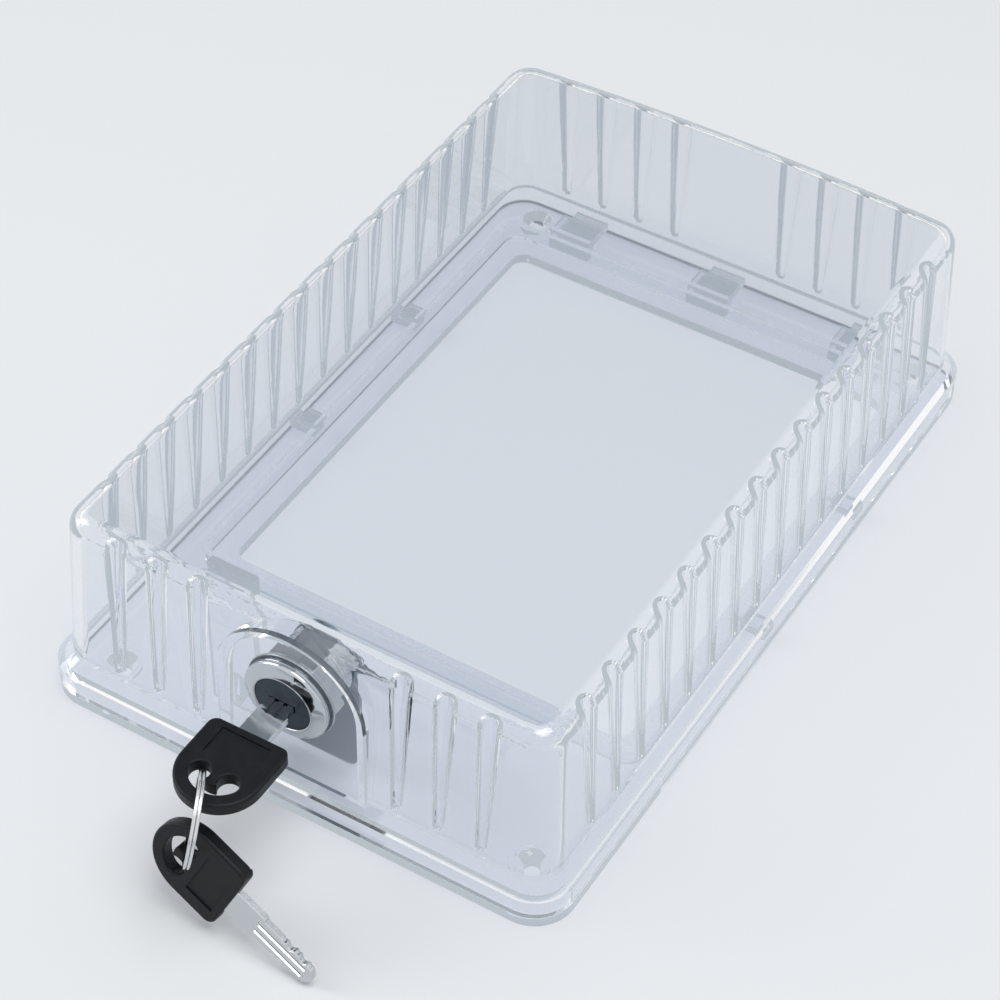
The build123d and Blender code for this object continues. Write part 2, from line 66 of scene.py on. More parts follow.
# ---------------------------------------------------------------- properties
class LOCKBOX_PG_plastic(bpy.types.PropertyGroup):
    tint: bpy.props.FloatVectorProperty(
        name="Tint",
        description="Colour that light takes on at each face of the clear plastic",
        subtype="COLOR",
        default=colour("FAFBFD"),
        min=0.0,
        max=1.0,
    )
    haze: bpy.props.FloatProperty(
        name="Haze",
        description="Roughness of the moulded faces",
        subtype="FACTOR",
        default=0.035,
        min=0.0,
        max=1.0,
    )
    wave: bpy.props.FloatProperty(
        name="Wave depth",
        description="Height of the slow waves that moulding leaves in a wall",
        unit="LENGTH",
        subtype="DISTANCE",
        default=0.02 * MM,
        precision=6,
    )
    wave_size: bpy.props.FloatProperty(
        name="Wave length",
        description="Distance from one moulding wave to the next",
        unit="LENGTH",
        subtype="DISTANCE",
        default=22 * MM,
    )


class LOCKBOX_PG_lock(bpy.types.PropertyGroup):
    chrome: bpy.props.FloatVectorProperty(
        name="Chrome",
        description="Colour of the bright plate on the lock body and nut",
        subtype="COLOR",
        default=colour("BFC4C9"),
        min=0.0,
        max=1.0,
    )
    plug: bpy.props.FloatVectorProperty(
        name="Plug face",
        description="Colour of the plug's dark satin finish",
        subtype="COLOR",
        default=colour("2B353D"),
        min=0.0,
        max=1.0,
    )
    bezel_flat: bpy.props.FloatProperty(
        name="Bezel flat",
        description="Outer radius of the narrow flat that the bezel's cone leaves round the plug",
        unit="LENGTH",
        subtype="DISTANCE",
        default=8.7 * MM,
        precision=5,
    )
    edge: bpy.props.FloatProperty(
        name="Edge rounding",
        description="Radius on the edges of the turned and pressed metal parts",
        unit="LENGTH",
        subtype="DISTANCE",
        default=0.18 * MM,
        precision=5,
    )
    thread_pitch: bpy.props.FloatProperty(
        name="Thread pitch",
        description="Distance between two turns of the barrel's thread",
        unit="LENGTH",
        subtype="DISTANCE",
        default=1.0 * MM,
        precision=5,
    )
    thread_turns: bpy.props.IntProperty(
        name="Thread turns",
        description="Turns of thread that show behind the nut",
        default=6,
        min=1,
        max=12,
    )
    spring_turns: bpy.props.FloatProperty(
        name="Spring turns",
        description="Coils in each wafer spring",
        default=7.0,
        min=1.0,
        max=20.0,
    )


class LOCKBOX_PG_keys(bpy.types.PropertyGroup):
    plastic: bpy.props.FloatVectorProperty(
        name="Bow plastic",
        description="Colour of the moulded black heads",
        subtype="COLOR",
        default=colour("0B0F13"),
        min=0.0,
        max=1.0,
    )
    bow_edge: bpy.props.FloatProperty(
        name="Bow rounding",
        description="Radius round the edges of the plastic head",
        unit="LENGTH",
        subtype="DISTANCE",
        default=0.8 * MM,
        precision=5,
    )
    bow_corner: bpy.props.FloatProperty(
        name="Bow corner",
        description="Radius of the two corners of the plastic head beside the blade",
        unit="LENGTH",
        subtype="DISTANCE",
        default=2.6 * MM,
        precision=5,
    )
    groove_width: bpy.props.FloatProperty(
        name="Groove width",
        description="Width of each of the two grooves along the blade",
        unit="LENGTH",
        subtype="DISTANCE",
        default=1.1 * MM,
        precision=5,
    )
    groove_depth: bpy.props.FloatProperty(
        name="Groove depth",
        description="Depth of those grooves",
        unit="LENGTH",
        subtype="DISTANCE",
        default=0.42 * MM,
        precision=5,
    )


class LOCKBOX_PG_ring(bpy.types.PropertyGroup):
    radius: bpy.props.FloatProperty(
        name="Ring radius",
        description="From the ring's centre to the middle of the wire",
        unit="LENGTH",
        subtype="DISTANCE",
        default=11.6 * MM,
        precision=5,
    )
    wire: bpy.props.FloatProperty(
        name="Wire radius",
        description="Radius of the spring wire",
        unit="LENGTH",
        subtype="DISTANCE",
        default=0.45 * MM,
        precision=5,
    )
    gap: bpy.props.FloatProperty(
        name="End gap",
        description="Angle from each wire end to the place where the turns cross",
        subtype="ANGLE",
        unit="ROTATION",
        default=math.radians(17),
    )


class LOCKBOX_PG_studio(bpy.types.PropertyGroup):
    floor: bpy.props.FloatVectorProperty(
        name="Floor",
        description="Colour of the plain floor",
        subtype="COLOR",
        default=colour("EDEFF1"),
        min=0.0,
        max=1.0,
    )
    fill: bpy.props.FloatProperty(
        name="Fill light",
        description="Even light from all round",
        default=0.5,
        min=0.0,
        max=2.0,
    )
    overhead: bpy.props.FloatProperty(
        name="Overhead softbox",
        description="Power of the large softbox above the box",
        unit="POWER",
        default=11.0,
        min=0.0,
    )
    side: bpy.props.FloatProperty(
        name="Side softbox",
        description="Power of the tall softbox on the left",
        unit="POWER",
        default=5.0,
        min=0.0,
    )
    card: bpy.props.FloatVectorProperty(
        name="Dark cards",
        description="Colour of the cards that give metal and clear edges something dark to show",
        subtype="COLOR",
        default=colour("9AA0A7"),
        min=0.0,
        max=1.0,
    )


# ---------------------------------------------------------------- helpers
WELD = 0.002 * MM  # vertices of a CAD mesh closer than this are one
FLAT_ANGLE = math.radians(0.4)  # faces that turn by less than this become one


def node(tree, kind, inputs=(), **settings):
    """Adds one node with its settings, and gives its inputs values or links."""
    made = tree.nodes.new(kind)
    for name, value in settings.items():
        setattr(made, name, value)
    for key, value in dict(inputs).items():
        if isinstance(value, bpy.types.NodeSocket):
            tree.links.new(value, made.inputs[key])
        else:
            made.inputs[key].default_value = value
    return made


def material(name):
    """An empty node material and its tree."""
    made = bpy.data.materials.new(name)
    made.use_nodes = True
    made.node_tree.nodes.clear()
    return made, made.node_tree


def skin(part, name, body, finish, sharp=28, edge=0.0, segments=2, reshape=None):
    """A merged copy of one CAD node, smooth between its sharp edges, that stands for the node."""
    shape = bmesh.new()
    shape.from_mesh(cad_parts[part].data)
    bmesh.ops.remove_doubles(shape, verts=shape.verts, dist=WELD)
    bmesh.ops.dissolve_limit(
        shape,
        angle_limit=FLAT_ANGLE,
        verts=shape.verts,
        edges=shape.edges,
        use_dissolve_boundaries=False,
    )
    if reshape:
        reshape(shape)
    limit = math.radians(sharp)
    for face in shape.faces:
        face.smooth = True
    for line in shape.edges:
        line.smooth = line.calc_face_angle(0.0) < limit
    mesh = bpy.data.meshes.new(name)
    shape.to_mesh(mesh)
    shape.free()
    for layer in [a for a in mesh.attributes if a.name == "custom_normal"]:
        mesh.attributes.remove(layer)
    piece = add_piece(name, mesh, body, finish, part)
    if edge:
        rounding = piece.modifiers.new("Rounded edges", "BEVEL")
        rounding.width = edge
        rounding.segments = segments
        rounding.limit_method = "ANGLE"
        rounding.angle_limit = limit
        rounding.harden_normals = False
    weights = piece.modifiers.new("Even shading", "WEIGHTED_NORMAL")
    weights.keep_sharp = True
    return piece


def add_piece(name, mesh, body, finish, *stands_for):
    """Links a finished mesh as a piece of the object that moves with a body."""
    piece = bpy.data.objects.new(name, mesh)
    bpy.context.scene.collection.objects.link(piece)
    mesh.materials.clear()
    mesh.materials.append(finish)
    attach(piece, body)
    if stands_for:
        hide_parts(*stands_for)
    return piece


def paint(part, finish):
    """Gives a CAD node that stays as it is a better material."""
    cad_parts[part].material_slots[0].material = finish


def grow(name, tree, values):
    """Runs a geometry tree on an empty mesh and returns its result as a plain mesh."""
    carrier = bpy.data.objects.new(name + "_carrier", bpy.data.meshes.new(name + "_carrier"))
    bpy.context.scene.collection.objects.link(carrier)
    run = carrier.modifiers.new("Geometry", "NODES")
    run.node_group = tree
    for item in tree.interface.items_tree:
        if item.item_type == "SOCKET" and item.in_out == "INPUT" and item.name in values:
            run[item.identifier] = values[item.name]
    bpy.context.view_layer.update()
    graph = bpy.context.evaluated_depsgraph_get()
    mesh = bpy.data.meshes.new_from_object(carrier.evaluated_get(graph), depsgraph=graph)
    carrier.modifiers.remove(run)
    bpy.data.objects.remove(carrier)
    mesh.name = name
    return mesh


def geometry_tree(name, sockets):
    """A geometry tree with one geometry output and named inputs, each (kind, default)."""
    tree = bpy.data.node_groups.new(name, "GeometryNodeTree")
    tree.interface.new_socket("Geometry", in_out="OUTPUT", socket_type="NodeSocketGeometry")
    for label, (kind, default) in sockets.items():
        made = tree.interface.new_socket(label, in_out="INPUT", socket_type=kind)
        if default is not None:
            made.default_value = default
    return tree, tree.nodes.new("NodeGroupInput").outputs, tree.nodes.new("NodeGroupOutput")


# ---------------------------------------------------------------- finishes
HAZE_PATCH = 60 * MM  # size of the hazy patches that handling leaves on clear plastic
CAUGHT_DEPTH = 5.5  # bounces after which a ray counts as caught between the clear faces
# painted glow: the grey that a caught ray shows in place of the room's light
PAINTED_GLOW_GREY = "B6BFC6"


def clear_polycarbonate(props):
    """Clear polycarbonate, injection moulded: glossy, faintly blue, with slow waves in it."""
    made, tree = material("Clear_polycarbonate")
    place = node(tree, "ShaderNodeTexCoord").outputs["Object"]
    wave = node(
        tree,
        "ShaderNodeTexNoise",
        {"Vector": place, "Scale": 1 / props.wave_size, "Detail": 1.0, "Roughness": 0.3},
    )
    relief = node(
        tree,
        "ShaderNodeBump",
        {"Height": wave.outputs["Fac"], "Strength": 1.0, "Distance": props.wave},
    )
    # handling leaves a thin haze in patches
    cloud = node(
        tree,
        "ShaderNodeTexNoise",
        {"Vector": place, "Scale": 1 / HAZE_PATCH, "Detail": 3.0},
    )
    rough = node(
        tree,
        "ShaderNodeMapRange",
        {
            "Value": cloud.outputs["Fac"],
            "From Min": 0.35,
            "From Max": 0.75,
            "To Min": props.haze * 0.6,
            "To Max": props.haze * 1.5,
        },
    )
    glass = node(
        tree,
        "ShaderNodeBsdfPrincipled",
        {
            "Base Color": opaque(props.tint),
            "Roughness": rough.outputs["Result"],
            "IOR": 1.585,
            "Transmission Weight": 1.0,
            "Normal": relief.outputs["Normal"],
        },
    )
    # lamps shine through it, so that it casts the pale shadow of clear plastic
    through = node(tree, "ShaderNodeBsdfTransparent", {"Color": opaque(props.tint)})
    path = node(tree, "ShaderNodeLightPath")
    lamp_ray = node(
        tree,
        "ShaderNodeMath",
        {0: path.outputs["Is Shadow Ray"], 1: path.outputs["Is Diffuse Ray"]},
        operation="MAXIMUM",
    )
    # a ray caught between the faces ends in a painted grey glow, which stands in for the room's
    # light, and not in black
    caught = node(
        tree,
        "ShaderNodeMath",
        {0: path.outputs["Ray Depth"], 1: CAUGHT_DEPTH},
        operation="GREATER_THAN",
    )
    painted_glow = node(
        tree,
        "ShaderNodeEmission",
        {"Color": opaque(colour(PAINTED_GLOW_GREY)), "Strength": 1.0},
    )
    ended = node(
        tree,
        "ShaderNodeMixShader",
        {0: caught.outputs[0], 1: glass.outputs["BSDF"], 2: painted_glow.outputs["Emission"]},
    )
    mixed = node(
        tree,
        "ShaderNodeMixShader",
        {0: lamp_ray.outputs[0], 1: ended.outputs["Shader"], 2: through.outputs["BSDF"]},
    )
    node(tree, "ShaderNodeOutputMaterial", {"Surface": mixed.outputs["Shader"]})
    # that painted glow is only seen: it lights nothing
    made.cycles.emission_sampling = "NONE"
    return made


FINGER_MARK = 4 * MM  # size of the marks that fingers leave on plated metal
PLUG_GRAIN = 0.35 * MM
PLUG_RUB = 2.5 * MM
MOULD_GRAIN = 0.3 * MM  # the real grain is about 0.1 mm; it is drawn coarser so that it shows
SCUFF = 3 * MM


def plated_metal(name, rgb, roughness, grain_mm, depth_mm, spread=0.08):
    """Plated metal: a fine grain of real size, and roughness that wanders with handling."""
    made, tree = material(name)
    place = node(tree, "ShaderNodeTexCoord").outputs["Object"]
    grain = node(
        tree,
        "ShaderNodeTexNoise",
        {"Vector": place, "Scale": 1 / (grain_mm * MM), "Detail": 3.0},
    )
    relief = node(
        tree,
        "ShaderNodeBump",
        {"Height": grain.outputs["Fac"], "Strength": 1.0, "Distance": depth_mm * MM},
    )
    cloud = node(
        tree,
        "ShaderNodeTexNoise",
        {"Vector": place, "Scale": 1 / FINGER_MARK, "Detail": 4.0},
    )
    rough = node(
        tree,
        "ShaderNodeMapRange",
        {
            "Value": cloud.outputs["Fac"],
            "From Min": 0.3,
            "From Max": 0.7,
            "To Min": roughness,
            "To Max": roughness + spread,
        },
    )
    metal = node(
        tree,
        "ShaderNodeBsdfPrincipled",
        {
            "Base Color": opaque(rgb),
            "Metallic": 1.0,
            "Roughness": rough.outputs["Result"],
            "Normal": relief.outputs["Normal"],
        },
    )
    node(tree, "ShaderNodeOutputMaterial", {"Surface": metal.outputs["BSDF"]})
    return made


def dark_satin_plug(rgb):
    """Die-cast zinc, dark satin finish: fine cast grain, a little lighter where keys rub it."""
    made, tree = material("Dark_satin_zinc")
    place = node(tree, "ShaderNodeTexCoord").outputs["Object"]
    grain = node(
        tree,
        "ShaderNodeTexNoise",
        {"Vector": place, "Scale": 1 / PLUG_GRAIN, "Detail": 4.0},
    )
    relief = node(
        tree,
        "ShaderNodeBump",
        {"Height": grain.outputs["Fac"], "Strength": 1.0, "Distance": 0.012 * MM},
    )
    rub = node(
        tree,
        "ShaderNodeTexNoise",
        {"Vector": place, "Scale": 1 / PLUG_RUB, "Detail": 5.0, "Roughness": 0.7},
    )
    shade = node(tree, "ShaderNodeValToRGB", {"Fac": rub.outputs["Fac"]})
    shade.color_ramp.elements[0].position = 0.35
    shade.color_ramp.elements[0].color = opaque(rgb)
    shade.color_ramp.elements[1].position = 0.85
    shade.color_ramp.elements[1].color = opaque([min(1.0, c * 2.2) for c in rgb])
    metal = node(
        tree,
        "ShaderNodeBsdfPrincipled",
        {
            "Base Color": shade.outputs["Color"],
            "Metallic": 0.65,
            "Roughness": 0.42,
            "Normal": relief.outputs["Normal"],
        },
    )
    node(tree, "ShaderNodeOutputMaterial", {"Surface": metal.outputs["BSDF"]})
    return made


def black_moulded_plastic(rgb):
    """Black ABS from a spark-eroded mould: a fine grain breaks up its sheen, scuffed in patches."""
    made, tree = material("Black_moulded_ABS")
    place = node(tree, "ShaderNodeTexCoord").outputs["Object"]
    grain = node(tree, "ShaderNodeTexVoronoi", {"Vector": place, "Scale": 1 / MOULD_GRAIN})
    relief = node(
        tree,
        "ShaderNodeBump",
        {"Height": grain.outputs["Distance"], "Strength": 1.0, "Distance": 0.03 * MM},
    )
    scuff = node(
        tree,
        "ShaderNodeTexNoise",
        {"Vector": place, "Scale": 1 / SCUFF, "Detail": 6.0, "Roughness": 0.7},
    )
    rough = node(
        tree,
        "ShaderNodeMapRange",
        {
            "Value": scuff.outputs["Fac"],
            "From Min": 0.3,
            "From Max": 0.7,
            "To Min": 0.36,
            "To Max": 0.5,
        },
    )
    shade = node(tree, "ShaderNodeValToRGB", {"Fac": scuff.outputs["Fac"]})
    shade.color_ramp.elements[0].position = 0.45
    shade.color_ramp.elements[0].color = opaque(rgb)
    shade.color_ramp.elements[1].position = 0.9
    shade.color_ramp.elements[1].color = opaque([min(1.0, c * 1.8 + 0.004) for c in rgb])
    plastic = node(
        tree,
        "ShaderNodeBsdfPrincipled",
        {
            "Base Color": shade.outputs["Color"],
            "Roughness": rough.outputs["Result"],
            "IOR": 1.5,
            "Specular IOR Level": 0.22,
            "Normal": relief.outputs["Normal"],
        },
    )
    node(tree, "ShaderNodeOutputMaterial", {"Surface": plastic.outputs["BSDF"]})
    return made


def matt_board(rgb):
    """Matt painted board: plain and even."""
    made, tree = material("Matt_board")
    board = node(
        tree,
        "ShaderNodeBsdfPrincipled",
        {"Base Color": opaque(rgb), "Roughness": 0.85, "Specular IOR Level": 0.2},
    )
    node(tree, "ShaderNodeOutputMaterial", {"Surface": board.outputs["BSDF"]})
    return made


# ---------------------------------------------------------------- clear shell
class LOCKBOX_OT_clear_shell(bpy.types.Operator):
    """Make the fluted cover and the base frame in clear moulded plastic"""

    bl_idname = "lockbox.clear_shell"
    bl_label = "Clear shell"

    def execute(self, context):
        plastic = clear_polycarbonate(context.scene.lockbox_plastic)
        skin("cover", "clear_cover", "cover", plastic)
        skin("base", "clear_base", "base", plastic)
        return {"FINISHED"}


# ---------------------------------------------------------------- cam lock
# Thread of the barrel, in the CAD frame: where it starts behind the nut, its root and its crest
THREAD_START = -106.2 * MM
THREAD_ROOT = 9.34 * MM
THREAD_CREST = 9.6 * MM
THREAD_HALF_TURN = math.radians(55)  # the two flats leave this much on each side
LOCK_AXIS = Vector((0, 0, 39.7 * MM))

# Bezel: its two ends along Y, its bore and its rim, and where the CAD one is drawn in to
BEZEL_FRONT = -116.7 * MM
BEZEL_BACK = -113.92 * MM
BEZEL_BORE = 8.05 * MM
BEZEL_RIM = 12.0 * MM
BEZEL_SEGMENTS = 144
CORE_FRONT = BEZEL_BACK - 1.2 * MM
CORE_RIM = 11.2 * MM

# Wafer springs: first spring's lower end, pitch from wafer to wafer, and the coil
SPRING_FOOT = Vector((0.55 * MM, -113.2 * MM, 43.0 * MM))
SPRING_PITCH = 2.2 * MM
SPRING_LENGTH = 2.8 * MM
SPRING_MEAN = 0.56 * MM
SPRING_WIRE = 0.13 * MM


def thread_tree():
    """Arcs of a V-shaped ridge on both round sides of the barrel, repeated at the pitch."""
    tree, given, out = geometry_tree(
        "Barrel thread",
        {
            "Turns": ("NodeSocketInt", 6),
            "Pitch": ("NodeSocketFloat", 1.0 * MM),
            "Root radius": ("NodeSocketFloat", THREAD_ROOT),
            "Crest height": ("NodeSocketFloat", THREAD_CREST - THREAD_ROOT),
            "Half angle": ("NodeSocketFloat", THREAD_HALF_TURN),
            "Material": ("NodeSocketMaterial", None),
        },
    )
    start = node(tree, "ShaderNodeMath", {0: given["Half angle"], 1: -1.0}, operation="MULTIPLY")
    sweep = node(tree, "ShaderNodeMath", {0: given["Half angle"], 1: 2.0}, operation="MULTIPLY")
    arc = node(
        tree,
        "GeometryNodeCurveArc",
        {
            "Resolution": 40,
            "Radius": given["Root radius"],
            "Start Angle": start.outputs[0],
            "Sweep Angle": sweep.outputs[0],
        },
    )
    ridge = node(
        tree,
        "GeometryNodeCurvePrimitiveCircle",
        {"Resolution": 4, "Radius": given["Crest height"]},
    )
    bent = node(
        tree,
        "GeometryNodeCurveToMesh",
        {"Curve": arc.outputs["Curve"], "Profile Curve": ridge.outputs["Curve"], "Fill Caps": True},
    )
    # the arc lies in XY; the barrel runs along Y
    upright = node(
        tree,
        "GeometryNodeTransform",
        {"Geometry": bent.outputs["Mesh"], "Rotation": (math.pi / 2, 0, 0)},
    )
    other = node(
        tree,
        "GeometryNodeTransform",
        {"Geometry": upright.outputs["Geometry"], "Rotation": (0, math.pi, 0)},
    )
    pair = node(tree, "GeometryNodeJoinGeometry")
    tree.links.new(upright.outputs["Geometry"], pair.inputs["Geometry"])
    tree.links.new(other.outputs["Geometry"], pair.inputs["Geometry"])
    step = node(tree, "ShaderNodeCombineXYZ", {"Y": given["Pitch"]})
    row = node(
        tree,
        "GeometryNodeMeshLine",
        {"Count": given["Turns"], "Offset": step.outputs["Vector"]},
    )
    spread = node(
        tree,
        "GeometryNodeInstanceOnPoints",
        {"Points": row.outputs["Mesh"], "Instance": pair.outputs["Geometry"]},
    )
    real = node(tree, "GeometryNodeRealizeInstances", {"Geometry": spread.outputs["Instances"]})
    coated = node(
        tree,
        "GeometryNodeSetMaterial",
        {"Geometry": real.outputs["Geometry"], "Material": given["Material"]},
    )
    tree.links.new(coated.outputs["Geometry"], out.inputs["Geometry"])
    return tree


def spring_tree():
    """A row of small coil springs, one for each wafer."""
    tree, given, out = geometry_tree(
        "Wafer springs",
        {
            "Springs": ("NodeSocketInt", 5),
            "Pitch": ("NodeSocketFloat", SPRING_PITCH),
            "Turns": ("NodeSocketFloat", 7.0),
            "Length": ("NodeSocketFloat", SPRING_LENGTH),
            "Mean radius": ("NodeSocketFloat", SPRING_MEAN),
            "Wire radius": ("NodeSocketFloat", SPRING_WIRE),
            "Material": ("NodeSocketMaterial", None),
        },
    )
    coil = node(
        tree,
        "GeometryNodeCurveSpiral",
        {
            "Resolution": 20,
            "Rotations": given["Turns"],
            "Start Radius": given["Mean radius"],
            "End Radius": given["Mean radius"],
            "Height": given["Length"],
        },
    )
    wire = node(
        tree,
        "GeometryNodeCurvePrimitiveCircle",
        {"Resolution": 6, "Radius": given["Wire radius"]},
    )
    bent = node(
        tree,
        "GeometryNodeCurveToMesh",
        {"Curve": coil.outputs["Curve"], "Profile Curve": wire.outputs["Curve"], "Fill Caps": True},
    )
    lying = node(
        tree,
        "GeometryNodeTransform",
        {"Geometry": bent.outputs["Mesh"], "Rotation": (0, math.pi / 2, 0)},
    )
    step = node(tree, "ShaderNodeCombineXYZ", {"Y": given["Pitch"]})
    row = node(
        tree,
        "GeometryNodeMeshLine",
        {"Count": given["Springs"], "Offset": step.outputs["Vector"]},
    )
    spread = node(
        tree,
        "GeometryNodeInstanceOnPoints",
        {"Points": row.outputs["Mesh"], "Instance": lying.outputs["Geometry"]},
    )
    real = node(tree, "GeometryNodeRealizeInstances", {"Geometry": spread.outputs["Instances"]})
    coated = node(
        tree,
        "GeometryNodeSetMaterial",
        {"Geometry": real.outputs["Geometry"], "Material": given["Material"]},
    )
    tree.links.new(coated.outputs["Geometry"], out.inputs["Geometry"])
    return tree


def clear_bezel(shape):
    """Draws the CAD bezel in under the turned one that covers it."""
    for v in shape.verts:
        out = Vector((v.co.x, 0, v.co.z - LOCK_AXIS.z))
        if v.co.y < BEZEL_BACK - 0.05 * MM:
            v.co.y = max(v.co.y, CORE_FRONT)
            if out.length > CORE_RIM:
                v.co -= out * (1 - CORE_RIM / out.length)


def turned_ring(name, outline, segments):
    """A ring turned about the lock's axis from an outline of (radius, place along the axis)."""
    shape = bmesh.new()
    rings = []
    for i in range(segments):
        turn = math.tau * i / segments
        across, up = math.cos(turn), math.sin(turn)
        rings.append([shape.verts.new((r * across, y, LOCK_AXIS.z + r * up)) for r, y in outline])
    for a, b in zip(rings, rings[1:] + rings[:1]):
        for j in range(len(outline)):
            k = (j + 1) % len(outline)
            shape.faces.new((a[j], a[k], b[k], b[j]))
    bmesh.ops.recalc_face_normals(shape, faces=shape.faces)
    for face in shape.faces:
        face.smooth = True
    for line in shape.edges:
        line.smooth = line.calc_face_angle(0.0) < math.radians(50)
    mesh = bpy.data.meshes.new(name)
    shape.to_mesh(mesh)
    shape.free()
    return mesh


def bezel_outline(flat):
    """Section of the bezel in its CAD outline: bore, narrow flat, broad cone and upright rim."""
    front, back = BEZEL_FRONT, BEZEL_BACK
    return [
        (BEZEL_BORE, back),
        (BEZEL_BORE, front + 0.3 * MM),
        (8.11 * MM, front + 0.12 * MM),
        (8.22 * MM, front + 0.03 * MM),
        (8.4 * MM, front),
        (flat, front),
        (flat + 0.2 * MM, front + 0.04 * MM),
        (11.45 * MM, front + 1.14 * MM),
        (11.72 * MM, front + 1.3 * MM),
        (11.92 * MM, front + 1.5 * MM),
        (BEZEL_RIM, front + 1.75 * MM),
        (BEZEL_RIM, back - 0.12 * MM),
        (11.9 * MM, back),
    ]


class LOCKBOX_OT_cam_lock(bpy.types.Operator):
    """Finish the lock body, nut, washers, plug, cam and screw, and add the barrel's thread"""

    bl_idname = "lockbox.cam_lock"
    bl_label = "Cam lock"

    def execute(self, context):
        props = context.scene.lockbox_lock
        # bright nickel-chrome on die-cast zinc, polished before plating
        chrome = plated_metal("Bright_chrome_plate", props.chrome, 0.06, 1.5, 0.0008, 0.05)
        # zinc plate on pressed steel, a shade duller and bluer
        zinc = plated_metal("Zinc_plated_steel", colour("B4B9BE"), 0.2, 0.3, 0.01)
        # rolled steel cam, zinc plated to a satin grey
        cam_steel = plated_metal("Satin_zinc_cam", colour("87929C"), 0.3, 0.25, 0.012)
        dark = dark_satin_plug(props.plug)
        skin("lock_body", "lock_body_chrome", "cover", chrome, edge=props.edge, reshape=clear_bezel)
        bezel = turned_ring("bezel_cone", bezel_outline(props.bezel_flat), BEZEL_SEGMENTS)
        add_piece("bezel_cone", bezel, "cover", chrome)
        skin("lock_nut", "hex_nut", "cover", chrome, edge=props.edge)
        skin("lock_washer", "wall_washer", "cover", zinc, edge=props.edge)
        skin("lock_plug", "plug_core", "plug", dark, edge=props.edge * 1.5)
        skin("stop_washer", "stop_disc", "plug", zinc, edge=props.edge)
        skin("cam", "cam_plate", "plug", cam_steel, edge=props.edge)
        skin("cam_washer", "spring_washer", "plug", zinc, edge=props.edge * 0.6)
        skin("cam_screw", "slotted_screw", "plug", zinc, edge=props.edge)
        thread = grow(
            "barrel_thread",
            thread_tree(),
            {"Turns": props.thread_turns, "Pitch": props.thread_pitch, "Material": chrome},
        )
        thread.transform(Matrix.Translation(LOCK_AXIS + Vector((0, THREAD_START, 0))))
        add_piece("barrel_thread", thread, "cover", chrome)
        return {"FINISHED"}


class LOCKBOX_OT_wafers(bpy.types.Operator):
    """Give the wafers their brass and wind their springs"""

    bl_idname = "lockbox.wafers"
    bl_label = "Wafers and springs"

    def execute(self, context):
        props = context.scene.lockbox_lock
        # stamped brass sheet, with the dull face that stamping leaves
        brass = plated_metal("Stamped_brass", colour("C9A556"), 0.28, 0.2, 0.01)
        # drawn spring wire
        wire_steel = plated_metal("Spring_wire", colour("A9ADB1"), 0.25, 0.2, 0.004)
        stack = [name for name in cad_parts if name.startswith("wafer_")]
        springs = [name for name in stack if "spring" in name]
        wafers = [name for name in stack if name not in springs]
        if not wafers or len(wafers) != len(springs):
            raise RuntimeError("each wafer needs one spring")
        for name in wafers:
            paint(name, brass)
        coils = grow(
            "wafer_springs",
            spring_tree(),
            {"Springs": len(springs), "Turns": props.spring_turns, "Material": wire_steel},
        )
        coils.transform(Matrix.Translation(SPRING_FOOT))
        add_piece("wafer_springs", coils, "plug", wire_steel, *springs)
        return {"FINISHED"}


# ---------------------------------------------------------------- keys
# Each key's plane in the CAD frame: where bow and blade meet, across, and out of its face
KEY_PLANES = {
    "key_1": ((0.0, -128.9, 39.7), (1.0, 0.0, 0.0), (0.0, 0.0, 1.0)),
    "key_2": ((11.07, -155.21, 13.47), (0.412, 0.171, 0.895), (0.027, 0.980, -0.199)),
}
BOW_HALF = 11.35
BOW_THICK = 3.8
BOW_ROUND = -13.25  # centre of the head's round end
BLADE_START = -0.1
BLADE_END = 26.8
NECK_END = 9.5
NECK_HALF = 4.25
BLADE_HALF = 3.5
BLADE_THICK = 2.0
TIP_LENGTH = 5.2
SHOULDER = 0.8  # length over which the neck narrows to the blade
BLADE_EDGE = 0.25  # chamfer along the blade's edges
TIP_THIN = 1.6  # length over which the blade thins at its very end
STATION = 0.3  # distance from one section of the blade to the next
# Cuts on both edges: place along the blade and depth
CUTS = ((15.7, 0.5), (17.9, 1.0), (20.1, 0.3), (22.3, 1.2), (24.5, 0.7))
CUT_HALF = 0.35  # half width of a cut's flat bottom
GROOVE_AT = 1.3
GROOVE_START = 7.6
GROOVE_FADE = 1.2  # length over which a groove runs out


def blade_half_width(y):
    """Half width of the blade in millimetres at a distance from the bow."""
    if y <= NECK_END - SHOULDER:
        half = NECK_HALF
    elif y <= NECK_END:
        turn = (y - NECK_END + SHOULDER) / SHOULDER
        half = BLADE_HALF + (NECK_HALF - BLADE_HALF) * math.sqrt(max(0.0, 1 - turn * turn))
    else:
        half = BLADE_HALF
    past = y - (BLADE_END - TIP_LENGTH)
    if past > 0:
        half *= math.sqrt(max(0.0, 1 - (past / TIP_LENGTH) ** 2.4))
    for place, depth in CUTS:
        half = min(half, BLADE_HALF - depth + max(0.0, abs(y - place) - CUT_HALF))
    return half


